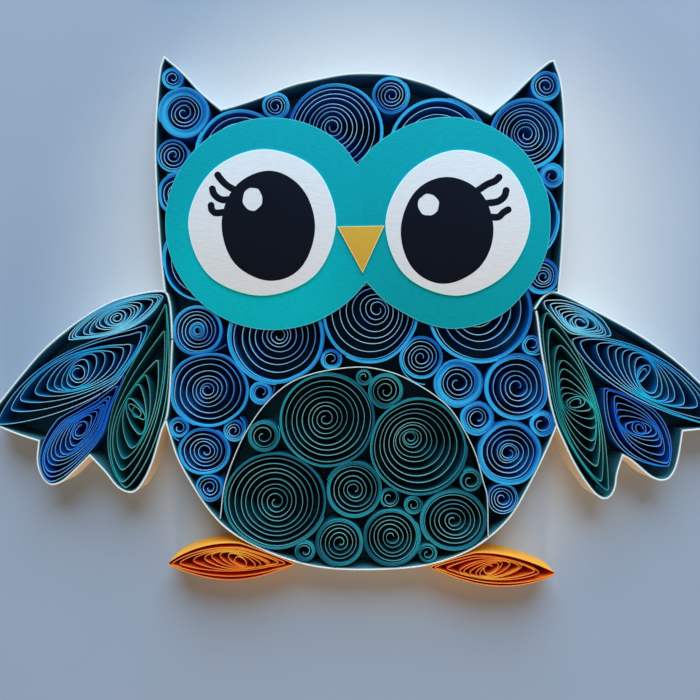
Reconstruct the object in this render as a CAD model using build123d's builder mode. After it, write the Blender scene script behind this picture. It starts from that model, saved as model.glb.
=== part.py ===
from build123d import *
import math
import os
from dataclasses import dataclass

os.makedirs("parts", exist_ok=True)

# A quilled paper owl, lying on its back: paper strips stand on edge inside card rims, glued to a board.
# Millimetres. The origin is the middle of the board's back, +Y points to the owl's ears, +Z out of the front.

# Owl and board
owl_span = 212
board_margin = 19
board_thickness = 3

# Strips and cards
strip_height = 10
strip_thickness = 0.3
rim_thickness = 0.7
floor_thickness = 0.3
mask_thickness = 0.4
disc_thickness = 0.6
ink_thickness = 0.05
glue_play = 0.15
seam_gap = 0.3

# Mask, eyes and beak
mask_radius = 30.2
mask_spacing = 49.6
mask_middle_x = 2.5
mask_y = 36.1
eye_radius = 21
eye_spacing = 55.8
eye_middle_x = 2.8
eye_y = 36.5
white_beside_pupil = 7.8
white_above_pupil = 5.8
highlight_radius = 3
left_pupil_right = 1.8
left_pupil_down = 1
right_pupil_left = 3
right_pupil_down = 2
lash_width = 1.7
upper_lash_margin = 3
middle_lash_margin = 4
lower_lash_margin = 6
beak_height = 13.4
beak_drop = 1.2
beak_tip_right = 0.8

# Derived sizes
board_side = owl_span + 2 * board_margin
floor_top = board_thickness + floor_thickness
roll_top = floor_top + strip_height
mask_top = roll_top + mask_thickness
disc_top = mask_top + disc_thickness
pupil_width = eye_radius - white_beside_pupil
pupil_height = eye_radius - white_above_pupil

# Corners of the polygons that stand for round stretches
mask_corner_count = 26
disc_corner_count = 24
pupil_corner_count = 20
highlight_corner_count = 8
leaf_corner_count = 5
leaf_turn_corner_count = 4
leaf_turns = 1.5
filler_turns = 0.6

# How far out the loose strip starts, as a share of the way from the eye to the edge
eye_share = 0.2


@dataclass
class Roll:
    """A loose coil: pressed turns make its thick edge, and the loose turns wind in to its eye."""

    name: str
    x: float
    y: float
    radius: float
    tall: float = 1      # height divided by width, where the coil is squeezed
    pressed: int = 3     # turns that lie against each other at the edge
    turns: float = 1.5   # loose turns inside
    eye: tuple = (0, 0)  # how far the loose turns' centre lies off the middle
    end: float = 0       # direction, in degrees, in which the loose turns meet the edge


@dataclass
class Leaf:
    """A coil pinched at both ends: two bowed sides between its tips."""

    name: str
    tip: tuple
    other_tip: tuple
    left: tuple          # height of the left side and where its peak lies along the leaf, from 0 to 1
    right: tuple
    eye: tuple           # centre of the loose turns
    pressed: int = 3


# Middle line of the card rim round the body, clockwise from the left ear
body_line = [
    (-53.1, 83.7), (-47.7, 78.9), (-43.1, 73.9), (-36.9, 68.6), (-32.9, 69.7), (-23.1, 73.1),
    (-16.6, 75.7), (-9.1, 77.4), (-0.3, 78.9), (10.6, 78.8), (16.1, 77.7), (22.9, 75.7),
    (34.6, 70.3), (40.3, 67.3), (46.3, 72.4), (52.6, 78.6), (57.1, 82.4), (58.3, 82.7),
    (60.0, 77.4), (60.9, 71.1), (61.4, 58.0), (60.9, 36.0), (60.3, 25.7), (59.7, 16.3),
    (59.2, -21.2), (56.6, -27.4), (51.4, -38.1), (45.7, -47.7), (38.7, -54.3), (31.6, -58.4),
    (21.4, -61.5), (6.6, -62.7), (-7.1, -62.2), (-16.0, -60.3), (-26.4, -56.3), (-34.8, -51.3),
    (-40.0, -46.0), (-45.7, -37.4), (-49.3, -30.6), (-51.3, -24.6), (-52.9, -19.7), (-52.9, 16.9),
    (-53.8, 25.1), (-54.9, 40.0), (-55.6, 56.6), (-55.3, 67.4), (-54.0, 81.1),
]

# Middle lines of the wing rims, clockwise, each from the place where its strip's two ends meet
left_wing_line = [
    (-51.0, 2.9), (-51.3, -3.3), (-51.8, -12.9), (-52.7, -19.4), (-54.0, -22.8), (-56.8, -32.2),
    (-59.0, -37.0), (-61.4, -40.1), (-63.1, -40.6), (-66.2, -39.2), (-69.9, -34.8), (-74.5, -29.9),
    (-78.1, -33.5), (-82.9, -37.7), (-85.6, -38.3), (-87.6, -36.8), (-89.3, -32.3), (-88.9, -25.9),
    (-94.5, -24.1), (-100.0, -21.9), (-102.6, -20.6), (-103.1, -18.6), (-100.0, -14.9), (-94.5, -8.0),
    (-87.3, 0.2), (-77.1, 8.5), (-68.0, 13.7), (-61.7, 15.6), (-56.2, 16.6), (-52.9, 16.4),
    (-51.8, 13.8), (-51.3, 9.5),
]
right_wing_line = [
    (53.0, 11.4), (55.3, 15.0), (57.7, 16.4), (59.4, 16.2), (69.3, 11.5), (82.4, 4.4),
    (93.3, -3.3), (100.0, -9.5), (106.0, -15.4), (108.9, -21.4), (100.0, -22.5), (95.1, -23.0),
    (93.7, -31.3), (92.5, -34.8), (90.9, -36.7), (89.0, -37.1), (86.6, -36.3), (80.2, -31.1),
    (78.0, -29.9), (76.3, -35.3), (75.6, -39.6), (74.4, -41.7), (72.8, -42.4), (70.9, -41.5),
    (68.5, -38.9), (64.5, -32.7), (61.4, -26.3), (59.2, -21.2), (57.4, -14.5), (56.3, -7.6),
    (54.8, 0.6), (53.8, 9.0),
]

# Strip between the blue field and the belly, from the rim at the lower left round to the lower right
belly_line = [
    (-37.5, -52.3), (-36.0, -38.9), (-33.4, -31.3), (-29.7, -23.4), (-24.1, -15.4), (-18.1, -10.0),
    (-12.6, -7.4), (-5.1, -5.6), (3.7, -4.9), (9.1, -5.7), (13.6, -7.0), (18.3, -9.3), (23.7, -12.6),
    (28.7, -16.9), (33.1, -23.8), (36.0, -30.1), (38.2, -38.0), (39.1, -41.1), (39.4, -58.0),
]

blue_rolls = [
    Roll("left_ear_roll", -47.4, 67.8, 7.1, pressed=8, turns=1, end=200),
    Roll("left_temple_roll", -48.9, 44.6, 5.8, turns=1, end=120),
    Roll("left_brow_roll", -31.4, 56.0, 12.7, turns=1, end=150),
    Roll("crown_roll", -4.0, 62.6, 13.5, turns=2, eye=(-1.1, 1.3), end=320),
    Roll("forehead_roll", 11.7, 72.9, 5.2, turns=1, end=40),
    Roll("right_brow_roll", 25.4, 57.7, 14.3, turns=1, end=80),
    Roll("right_ear_roll", 50.6, 61.6, 10.3, turns=2, end=250),
    Roll("right_temple_roll", 46.3, 37.6, 13.4, turns=1, end=10),
    Roll("right_shoulder_roll", 54.7, 21.2, 5.0, turns=1, eye=(0.6, -0.3), end=310),
    Roll("left_cheek_roll", -41.8, 25.7, 11.4, turns=1, end=190),
    Roll("left_shoulder_roll", -43.6, 5.7, 7.0, turns=1.5, end=300),
    Roll("left_flank_roll", -40.0, -11.4, 11.2, tall=0.94, turns=2, end=250),
    Roll("left_breast_roll", -21.1, 4.0, 13.7, pressed=4, turns=2, eye=(0.7, 0.5), end=270),
    Roll("throat_roll", 5.6, 10.1, 13.2, pressed=4, turns=2, eye=(2.2, 1.7), end=240),
    Roll("right_breast_roll", 37.3, 11.1, 14.8, turns=2, end=290),
    Roll("lower_throat_roll", 20.3, -2.2, 6.1, turns=1, end=220),
    Roll("right_rib_roll", 30.8, -9.5, 6.7, pressed=7, turns=1, end=30),
    Roll("right_flank_roll", 47.4, -10.6, 8.9, turns=2, end=130),
    Roll("right_belly_roll", 36.5, -19.5, 4.6, turns=1, end=350),
    Roll("right_hip_roll", 45.4, -29.4, 8.7, turns=1.6, end=200),
    Roll("left_hip_roll", -41.8, -28.9, 7.3, tall=0.92, turns=1.6, eye=(0.5, 0), end=60),
]

small_blue_rolls = [
    Roll("left_ear_tip", -51.0, 77.3, 2.6, pressed=2, end=90),
    Roll("left_ear_foot", -50.6, 55.5, 4.6, pressed=3, end=20),
    Roll("brow_filler", -21.3, 69.5, 3.4, pressed=2, end=250),
    Roll("right_ear_tip", 55.9, 75.5, 4.1, pressed=3, end=60),
    Roll("right_ear_foot", 57.4, 49.9, 3.2, pressed=2, end=180),
    Roll("breast_filler", -5.4, -2.7, 2.9, pressed=2, end=30),
    Roll("left_belly_filler", -25.4, -12.2, 3.2, pressed=2, end=0),
    Roll("right_wing_filler", 51.6, 1.5, 2.5, pressed=2, end=210),
    Roll("right_armpit_filler", 54.9, -21.1, 3.4, pressed=2, end=140),
    Roll("right_hip_filler", 43.4, -42.5, 4.1, pressed=2, end=100),
    Roll("left_armpit_filler", -48.9, -22.2, 2.7, pressed=2, end=270),
    Roll("left_waist_filler", -33.1, -23.0, 2.9, pressed=2, end=330),
    Roll("left_hip_filler", -39.8, -39.1, 3.5, pressed=2, end=45),
]

teal_rolls = [
    Roll("belly_left_roll", -21.4, -43.0, 14.2, tall=0.93, turns=2, end=340),
    Roll("belly_top_roll", -6.5, -20.1, 13.3, turns=2, eye=(-0.4, 0.5), end=100),
    Roll("belly_right_roll", 19.5, -27.9, 13.6, turns=2, eye=(-2.5, 2.6), end=0),
    Roll("belly_middle_roll", 1.1, -40.0, 7.9, turns=1.6, end=160),
    Roll("belly_crest_roll", 10.3, -11.7, 4.9, turns=1, end=300),
    Roll("belly_edge_roll", -24.7, -24.7, 4.3, turns=1, end=70),
    Roll("belly_low_right_roll", 29.7, -48.7, 9.3, tall=0.91, turns=1.6, end=220),
    Roll("belly_low_roll", 11.9, -53.5, 8.0, turns=1.6, end=30),
    Roll("belly_low_left_roll", -2.9, -55.1, 6.6, turns=1, end=260),
]

small_teal_rolls = [
    Roll("crest_filler", 4.0, -7.8, 2.1, pressed=2, end=0),
    Roll("low_left_filler", -12.9, -57.5, 2.7, pressed=2, end=90),
    Roll("low_right_filler", 22.2, -58.2, 2.4, pressed=2, end=180),
    Roll("middle_hook", 11.4, -42.3, 2.5, pressed=2, end=240),
    Roll("middle_filler", 18.1, -44.2, 2.4, pressed=2, end=20),
    Roll("right_hook", 34.5, -37.3, 2.9, pressed=2, end=130),
]

wing_leaves = [
    Leaf("left_wing_pale_leaf", (-80.6, 2.4), (-53.9, 15.0), (4.0, 0.50), (3.2, 0.58), (-67.3, 8.9), 2),
    Leaf("left_wing_azure_leaf", (-100.6, -18.6), (-58.4, 7.2), (5.1, 0.38), (8.8, 0.58), (-78.1, -7.0)),
    Leaf("left_wing_royal_leaf", (-86.9, -36.6), (-65.2, -8.6), (8.2, 0.37), (4.4, 0.40), (-77.1, -22.9)),
    Leaf("left_wing_teal_leaf", (-64.2, -39.4), (-53.3, 13.4), (7.7, 0.32), (5.5, 0.45), (-61.0, -18.2)),
    Leaf("right_wing_pale_leaf", (56.2, 14.4), (74.0, 3.4), (3.9, 0.55), (4.2, 0.48), (65.4, 8.1), 2),
    Leaf("right_wing_azure_leaf", (64.0, 2.9), (106.0, -20.2), (7.0, 0.55), (6.3, 0.42), (83.9, -6.9)),
    Leaf("right_wing_royal_leaf", (72.8, -11.4), (90.8, -33.6), (7.2, 0.56), (6.7, 0.50), (83.4, -22.5)),
    Leaf("right_wing_teal_leaf", (56.4, 10.4), (73.2, -40.2), (6.1, 0.42), (6.5, 0.55), (64.7, -14.7)),
]

feet = [
    Leaf("left_foot", (-52.3, -61.0), (-15.9, -61.2), (5.2, 0.42), (5.1, 0.50), (-31.4, -60.5)),
    Leaf("right_foot", (22.6, -62.6), (58.9, -63.7), (4.0, 0.58), (5.0, 0.54), (40.9, -62.9)),
]


# The lines and places above are drawn for a span of their own, from wing tip to wing tip
drawn_span = max(x for x, y in right_wing_line) - min(x for x, y in left_wing_line)
plan = owl_span / drawn_span


def in_plan(points):
    return [(x * plan, y * plan) for x, y in points]


def oval(middle, width, height, corners, turned=0):
    # Corners of a polygon on an ellipse; width and height are half sizes, turned is in degrees.
    steps = [math.radians(turned + 360 * step / corners) for step in range(corners)]
    return [(middle[0] + width * math.cos(a), middle[1] + height * math.sin(a)) for a in steps]


def strip_on_edge(points, thickness):
    # Outline of a strip that follows the points: each corner is moved to both sides along its mitre.
    directions = []
    for (x, y), (next_x, next_y) in zip(points, points[1:]):
        length = math.dist((x, y), (next_x, next_y))
        directions.append(((next_x - x) / length, (next_y - y) / length))
    left_side = []
    right_side = []
    for step, (x, y) in enumerate(points):
        before = directions[max(step - 1, 0)]
        after = directions[min(step, len(directions) - 1)]
        mitre_x, mitre_y = -before[1] - after[1], before[0] + after[0]
        reach = thickness / (mitre_x ** 2 + mitre_y ** 2)
        left_side.append((x + mitre_x * reach, y + mitre_y * reach))
        right_side.append((x - mitre_x * reach, y - mitre_y * reach))
    return left_side + right_side[::-1]


def draw_card(line, grow):
    # The area inside a closed line, grown outwards by a distance, or shrunk where it is negative.
    with BuildSketch(mode=Mode.PRIVATE) as card:
        Polygon(*in_plan(line))
        offset(amount=grow, kind=Kind.INTERSECTION)
    return card.sketch


def roll_corners(radius):
    # Corners round the edge and in one loose turn, so that every roll has sides of about the same length.
    if radius > 10:
        return 13, 9
    if radius > 7:
        return 11, 8
    if radius > 4.2:
        return 9, 7
    return 7, 5


def draw_roll(roll, turns):
    # The edge is a ring of pressed turns. The loose strip winds out from the eye and ends inside the ring,
    # in the middle of one of its flat sides.
    edge_corners, turn_corners = roll_corners(roll.radius)
    middle = (roll.x * plan, roll.y * plan)
    width = roll.radius * plan - glue_play
    height = roll.radius * roll.tall * plan - glue_play
    pressed = roll.pressed * strip_thickness
    turned = roll.end + 180 / edge_corners
    flat = math.cos(math.pi / edge_corners)
    Polygon(*oval(middle, width, height, edge_corners, turned))
    Polygon(*oval(middle, width - pressed, height - pressed, edge_corners, turned), mode=Mode.SUBTRACT)
    edge_width = width * flat - pressed / 2
    edge_height = height * flat - pressed / 2
    off_x, off_y = in_plan([roll.eye])[0]
    loose = []
    steps = round(turns * turn_corners)
    for step in range(steps + 1):
        share = step / steps
        reach = eye_share + (1 - eye_share) * share
        turn = math.radians(roll.end - 360 * (steps - step) / turn_corners)
        x = middle[0] + off_x * (1 - share) + reach * edge_width * math.cos(turn)
        y = middle[1] + off_y * (1 - share) + reach * edge_height * math.sin(turn)
        loose.append((x, y))
    Polygon(*strip_on_edge(loose, strip_thickness))


def leaf_side(leaf, inset, height, peak, share, direction):
    # A point on one bowed side: its height is the bulge times 4 s (1 - s), and s is
    # the share of the way along, bent so that the highest place lies at the peak.
    tip_inset = 2.4 * inset
    ax, ay = leaf.tip[0] * plan, leaf.tip[1] * plan
    bx, by = leaf.other_tip[0] * plan, leaf.other_tip[1] * plan
    length = math.dist((ax, ay), (bx, by))
    along_x, along_y = (bx - ax) / length, (by - ay) / length
    bent = share ** (math.log(0.5) / math.log(peak))
    along = tip_inset + share * (length - 2 * tip_inset)
    across = direction * (height * plan - inset) * 4 * bent * (1 - bent)
    return ax + along_x * along - along_y * across, ay + along_y * along + along_x * across


def leaf_outline(leaf, inset, side_corners):
    # Up the left side from the first tip to the other, and back down the right side.
    shares = [step / side_corners for step in range(side_corners)]
    up = [leaf_side(leaf, inset, *leaf.left, share, 1) for share in shares]
    back = [leaf_side(leaf, inset, *leaf.right, 1 - share, -1) for share in shares]
    return up + back


def draw_leaf(leaf):
    # The edge is a ring of pressed turns. The loose strip follows the edge's middle line,
    # drawn in to the eye.
    pressed = leaf.pressed * strip_thickness
    Polygon(*leaf_outline(leaf, glue_play, leaf_corner_count))
    Polygon(*leaf_outline(leaf, glue_play + pressed, leaf_corner_count), mode=Mode.SUBTRACT)
    ring = leaf_outline(leaf, glue_play + pressed / 2, leaf_turn_corner_count)
    chord = math.atan2(leaf.other_tip[1] - leaf.tip[1], leaf.other_tip[0] - leaf.tip[0])
    eye = (leaf.eye[0] * plan, leaf.eye[1] * plan)
    loose = []
    steps = round(leaf_turns * 2 * leaf_turn_corner_count)
    for step in range(steps + 1):
        out = eye_share + (1 - eye_share) * (step / steps) ** 1.3
        corner = ring[(leaf_turn_corner_count // 2 + step - steps) % len(ring)]
        dx, dy = corner[0] - eye[0], corner[1] - eye[1]
        along = out * (dx * math.cos(chord) + dy * math.sin(chord))
        across = out * (dy * math.cos(chord) - dx * math.sin(chord))
        loose.append((
            eye[0] + along * math.cos(chord) - across * math.sin(chord),
            eye[1] + along * math.sin(chord) + across * math.cos(chord),
        ))
    Polygon(*strip_on_edge(loose, strip_thickness))


# Board
with BuildPart() as mount_board:
    Box(board_side, board_side, board_thickness, align=(Align.CENTER, Align.CENTER, Align.MIN))
mount_board.part.label = "mount_board"
export_step(mount_board.part, "parts/mount_board.step")

# Card rims, all the same height and standing on the board
half_rim = rim_thickness / 2
wing_lines = {"left_wing": left_wing_line, "right_wing": right_wing_line}

with BuildPart() as body_rims:
    with BuildSketch(Plane.XY.offset(board_thickness)):
        add(draw_card(body_line, half_rim))
        add(draw_card(body_line, -half_rim), mode=Mode.SUBTRACT)
        for wing_line in wing_lines.values():
            add(draw_card(wing_line, half_rim + glue_play), mode=Mode.SUBTRACT)
    extrude(amount=strip_height)

for name, strip in zip(["lower_body_rim", "upper_body_rim"], body_rims.solids().sort_by(Axis.Y)):
    strip.label = name
    export_step(strip, f"parts/{name}.step")

for name, wing_line in wing_lines.items():
    seam_x, seam_y = in_plan(wing_line)[0]
    with BuildPart() as wing_rim:
        with BuildSketch(Plane.XY.offset(board_thickness)):
            add(draw_card(wing_line, half_rim))
            add(draw_card(wing_line, -half_rim), mode=Mode.SUBTRACT)
            with Locations((seam_x, seam_y)):
                Rectangle(4 * rim_thickness, seam_gap, mode=Mode.SUBTRACT)
        extrude(amount=strip_height)
    wing_rim.part.label = f"{name}_rim"
    export_step(wing_rim.part, f"parts/{name}_rim.step")

# Dark cards on the board, inside the rims
with BuildPart() as body_floor:
    with BuildSketch(Plane.XY.offset(board_thickness)):
        add(draw_card(body_line, -half_rim - glue_play))
        for wing_line in wing_lines.values():
            add(draw_card(wing_line, half_rim + glue_play), mode=Mode.SUBTRACT)
    extrude(amount=floor_thickness)
body_floor.part.label = "body_floor"
export_step(body_floor.part, "parts/body_floor.step")

for name, wing_line in wing_lines.items():
    with BuildPart() as wing_floor:
        with BuildSketch(Plane.XY.offset(board_thickness)):
            add(draw_card(wing_line, -half_rim - glue_play))
        extrude(amount=floor_thickness)
    wing_floor.part.label = f"{name}_floor"
    export_step(wing_floor.part, f"parts/{name}_floor.step")

# Belly partition, trimmed where it meets the rim
with BuildPart() as belly_partition:
    with BuildSketch(Plane.XY.offset(floor_top)):
        Polygon(*strip_on_edge(in_plan(belly_line), strip_thickness))
        add(draw_card(body_line, -half_rim - glue_play), mode=Mode.INTERSECT)
    extrude(amount=strip_height)
belly_partition.part.label = "belly_partition"
export_step(belly_partition.part, "parts/belly_partition.step")

# Rolls, one node each, and the small fillers together
for roll in blue_rolls + teal_rolls:
    with BuildPart() as wound:
        with BuildSketch(Plane.XY.offset(floor_top)):
            draw_roll(roll, roll.turns)
        extrude(amount=strip_height)
    wound.part.label = roll.name
    export_step(wound.part, f"parts/{roll.name}.step")

for name, rolls in {"small_blue_rolls": small_blue_rolls, "small_teal_rolls": small_teal_rolls}.items():
    with BuildPart() as fillers:
        with BuildSketch(Plane.XY.offset(floor_top)):
            for roll in rolls:
                draw_roll(roll, filler_turns)
        extrude(amount=strip_height)
    fillers.part.label = name
    export_step(fillers.part, f"parts/{name}.step")

# Pinched rolls: the wing leaves stand on the floor cards, the feet on the board
for leaves, level in ((wing_leaves, floor_top), (feet, board_thickness)):
    for leaf in leaves:
        with BuildPart() as pinched:
            with BuildSketch(Plane.XY.offset(level)):
                draw_leaf(leaf)
            extrude(amount=strip_height)
        pinched.part.label = leaf.name
        export_step(pinched.part, f"parts/{leaf.name}.step")

# Mask of two joined discs, glued on top of the rolls
with BuildPart() as mask:
    with BuildSketch(Plane.XY.offset(roll_top)):
        for side in (-1, 1):
            middle = (mask_middle_x + side * mask_spacing / 2, mask_y)
            Polygon(*oval(middle, mask_radius, mask_radius, mask_corner_count))
    extrude(amount=mask_thickness)
mask.part.label = "mask"
export_step(mask.part, "parts/mask.step")

# Eye discs on the mask, with inked pupils and lashes
eyes = {
    "left": dict(side=-1, pupil_shift=(left_pupil_right, -left_pupil_down)),
    "right": dict(side=1, pupil_shift=(-right_pupil_left, -right_pupil_down)),
}
lash_turns = (47, 33, 17)
lash_margins = (upper_lash_margin, middle_lash_margin, lower_lash_margin)


def pupil_reach(shift, direction):
    # How far the pupil's edge lies from the middle of the disc in a direction: the ray meets the ellipse.
    ray_x, ray_y = math.cos(direction) / pupil_width, math.sin(direction) / pupil_height
    shift_x, shift_y = shift[0] / pupil_width, shift[1] / pupil_height
    a = ray_x ** 2 + ray_y ** 2
    b = ray_x * shift_x + ray_y * shift_y
    c = shift_x ** 2 + shift_y ** 2 - 1
    return (b + math.sqrt(b * b - a * c)) / a


for name, eye in eyes.items():
    middle = (eye_middle_x + eye["side"] * eye_spacing / 2, eye_y)
    shift = eye["pupil_shift"]
    pupil_middle = (middle[0] + shift[0], middle[1] + shift[1])
    highlight = (pupil_middle[0] - 0.36 * pupil_width, pupil_middle[1] + 0.47 * pupil_height)

    with BuildPart() as eye_disc:
        with BuildSketch(Plane.XY.offset(mask_top)):
            Polygon(*oval(middle, eye_radius, eye_radius, disc_corner_count))
        extrude(amount=disc_thickness)
    eye_disc.part.label = f"{name}_eye_disc"
    export_step(eye_disc.part, f"parts/{name}_eye_disc.step")

    with BuildPart() as pupil:
        with BuildSketch(Plane.XY.offset(disc_top)):
            Polygon(*oval(pupil_middle, pupil_width, pupil_height, pupil_corner_count))
            Polygon(
                *oval(highlight, highlight_radius, highlight_radius, highlight_corner_count),
                mode=Mode.SUBTRACT,
            )
        extrude(amount=ink_thickness)
    pupil.part.label = f"{name}_pupil"
    export_step(pupil.part, f"parts/{name}_pupil.step")

    with BuildPart() as lashes:
        with BuildSketch(Plane.XY.offset(disc_top)):
            for turn, margin in zip(lash_turns, lash_margins):
                direction = math.radians(turn if eye["side"] > 0 else 180 - turn)
                inner = pupil_reach(shift, direction) + lash_width / 2
                outer = eye_radius - margin
                ends = [
                    (middle[0] + reach * math.cos(direction), middle[1] + reach * math.sin(direction))
                    for reach in (inner, outer)
                ]
                Polygon(*strip_on_edge(ends, lash_width))
        extrude(amount=ink_thickness)
    lashes.part.label = f"{name}_lashes"
    export_step(lashes.part, f"parts/{name}_lashes.step")

# Beak, a triangle that fills the gap between the eye discs
beak_half_width = eye_spacing / 2 - eye_radius - glue_play
beak_top = eye_y - beak_drop
with BuildPart() as beak:
    with BuildSketch(Plane.XY.offset(mask_top)):
        Polygon(
            (eye_middle_x - beak_half_width, beak_top),
            (eye_middle_x + beak_tip_right, beak_top - beak_height),
            (eye_middle_x + beak_half_width, beak_top),
        )
    extrude(amount=disc_thickness)
beak.part.label = "beak"
export_step(beak.part, "parts/beak.step")
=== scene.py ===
import math
import bpy
import numpy as np
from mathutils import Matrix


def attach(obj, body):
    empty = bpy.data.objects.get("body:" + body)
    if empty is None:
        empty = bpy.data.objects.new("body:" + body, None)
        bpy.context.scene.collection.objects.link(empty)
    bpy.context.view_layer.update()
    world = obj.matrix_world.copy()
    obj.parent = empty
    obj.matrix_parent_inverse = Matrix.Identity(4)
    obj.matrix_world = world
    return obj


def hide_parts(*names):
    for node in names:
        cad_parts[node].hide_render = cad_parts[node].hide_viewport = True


# Dresses the quilled paper owl: every strip is wound in full and stands on edge, cards get cut edges.
# Sizes in the settings are millimetres, and the meshes are metres.

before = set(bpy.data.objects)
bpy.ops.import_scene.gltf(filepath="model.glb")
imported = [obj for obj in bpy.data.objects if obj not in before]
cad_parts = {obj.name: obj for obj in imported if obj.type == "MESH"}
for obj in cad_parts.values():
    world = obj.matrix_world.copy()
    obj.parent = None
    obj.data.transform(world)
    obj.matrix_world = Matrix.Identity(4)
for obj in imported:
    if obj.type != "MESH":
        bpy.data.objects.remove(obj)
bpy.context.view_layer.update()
mm = 0.001
print("frame loaded,", len(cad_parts), "nodes")

levels = {
    "board": 3.0,
    "floor": 3.3,
    "rollTop": 13.3,
    "rimTop": 13.0,
    "maskTop": 13.7,
    "discTop": 14.3,
    "inkTop": 14.35,
}
# The picture shows 200 mm across at the strips' front edges, in 700 pixels
photo = {"middle": 350, "mmPerPixel": 200 / 700}
meshing = {
    "sharpAngle": 38,  # degrees from which an edge stays sharp in the shading
    "mitreLimit": 2.5,  # how many times its distance a sharp corner may stand off
    "pressWiden": 0.35,  # how much thicker a pressed turn is
}


def onPhoto(points):
    # Places read on the picture, as millimetres from the board's middle with y upwards: (place - middle)
    # times the millimetres of a pixel.
    read = np.array(points, float)
    return (read - photo["middle"]) * [photo["mmPerPixel"], -photo["mmPerPixel"]]


def objectOf(name, mesh):
    # An object of the mesh, in which only edges above the sharp angle stay sharp.
    mesh.set_sharp_from_angle(angle=math.radians(meshing["sharpAngle"]))
    made = bpy.data.objects.new(name, mesh)
    bpy.context.scene.collection.objects.link(made)
    return made


def meshOf(name, points, quads, marks):
    # An object of four-cornered faces. Each mark is a name with its domain and one value a face or point.
    mesh = bpy.data.meshes.new(name)
    mesh.vertices.add(len(points))
    mesh.vertices.foreach_set("co", (points * mm).astype(np.float32).ravel())
    mesh.loops.add(quads.size)
    mesh.loops.foreach_set("vertex_index", quads.astype(np.int32).ravel())
    mesh.polygons.add(len(quads))
    mesh.polygons.foreach_set("loop_start", np.arange(0, quads.size, 4, dtype=np.int32))
    mesh.polygons.foreach_set("use_smooth", np.ones(len(quads), bool))
    mesh.update(calc_edges=True)
    for mark, domain, values in marks:
        mesh.attributes.new(mark, "FLOAT", domain).data.foreach_set("value", values.astype(np.float32))
    return objectOf(name, mesh)


def across(points, closed):
    # The mitre at each point of a line: the sum of the two sides' normals, times 2 over its square, so that a
    # line moved along it stays at the full distance. The mitre limit holds it back at very sharp corners.
    if closed:
        before = points - np.roll(points, 1, axis=0)
        after = np.roll(points, -1, axis=0) - points
    else:
        step = np.diff(points, axis=0)
        before = np.vstack([step[:1], step])
        after = np.vstack([step, step[-1:]])
    before = before / np.linalg.norm(before, axis=1, keepdims=True)
    after = after / np.linalg.norm(after, axis=1, keepdims=True)
    total = before + after
    normal = np.stack([-total[:, 1], total[:, 0]], axis=1)
    square = np.maximum((normal ** 2).sum(axis=1, keepdims=True), 4 / meshing["mitreLimit"] ** 2)
    return 2 * normal / square


def standingStrips(name, lines, thickness, bottom, top, cut):
    # A band on edge carried along each line: a point of its section lies to the side by a share of the
    # thickness along the mitre, at its own height. The two upper corners are cut off by a small chamfer.
    # A pressed turn is thicker by its share of the widening, because its strips lie against each other.
    half = thickness / 2
    side = np.array([-half, half, half, half - cut, cut - half, -half])
    height = np.array([bottom, bottom, top - cut, top, top, top - cut])
    corners = len(side)
    points, quads, edge, outer, press, paintedLight = [], [], [], [], [], []
    first = 0
    for line in lines:
        path = line["path"]
        count = len(path)
        zeros = np.zeros(count)
        pressed = line.get("press", zeros)
        mitre = across(path, False) * (1 + meshing["pressWiden"] * pressed)[:, None]
        flat = path[:, None, :] + mitre[:, None, :] * side[None, :, None]
        tall = np.broadcast_to(height[None, :, None], (count, corners, 1))
        points.append(np.concatenate([flat, tall], axis=2).reshape(-1, 3))
        here = np.arange(count - 1)[:, None] * corners
        there = here + corners
        low = np.arange(corners)[None, :]
        high = (low + 1) % corners
        sides = np.stack([here + low, here + high, there + high, there + low], axis=2).reshape(-1, 4)
        last = (count - 1) * corners
        caps = np.array([[5, 2, 1, 0], [5, 4, 3, 2], [last, last + 1, last + 2, last + 5],
                         [last + 2, last + 3, last + 4, last + 5]])
        quads.append(np.vstack([sides, caps]) + first)
        # The section's third to fifth side are the cut edge, its second one is the strip's left face
        edge.append(np.concatenate([np.tile([0, 0, 1, 1, 1, 0], count - 1), np.zeros(len(caps))]))
        leftFace = np.tile([0, 1, 0, 0, 0, 0], count - 1)
        isOuter = np.repeat(line.get("outerRun", zeros)[:-1], corners)
        outer.append(np.concatenate([leftFace * isOuter, np.zeros(len(caps))]))
        press.append(np.repeat(pressed, corners))
        # The painted light of each point, fully lit where a line gives none
        paintedLight.append(np.repeat(line.get("paintedLight", zeros + 1), corners))
        first += count * corners
    marks = [("edge", "FACE", edge), ("outer", "FACE", outer), ("press", "POINT", press),
             ("paintedLight", "POINT", paintedLight)]
    marks = [(mark, domain, np.concatenate(values)) for mark, domain, values in marks]
    return meshOf(name, np.vstack(points), np.vstack(quads), marks)


def mixed(t, first, last, start, stop):
    # The start at the first time and the stop at the last one, in proportion between them.
    return (last - t) / (last - first) * start + (t - first) / (last - first) * stop


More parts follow.
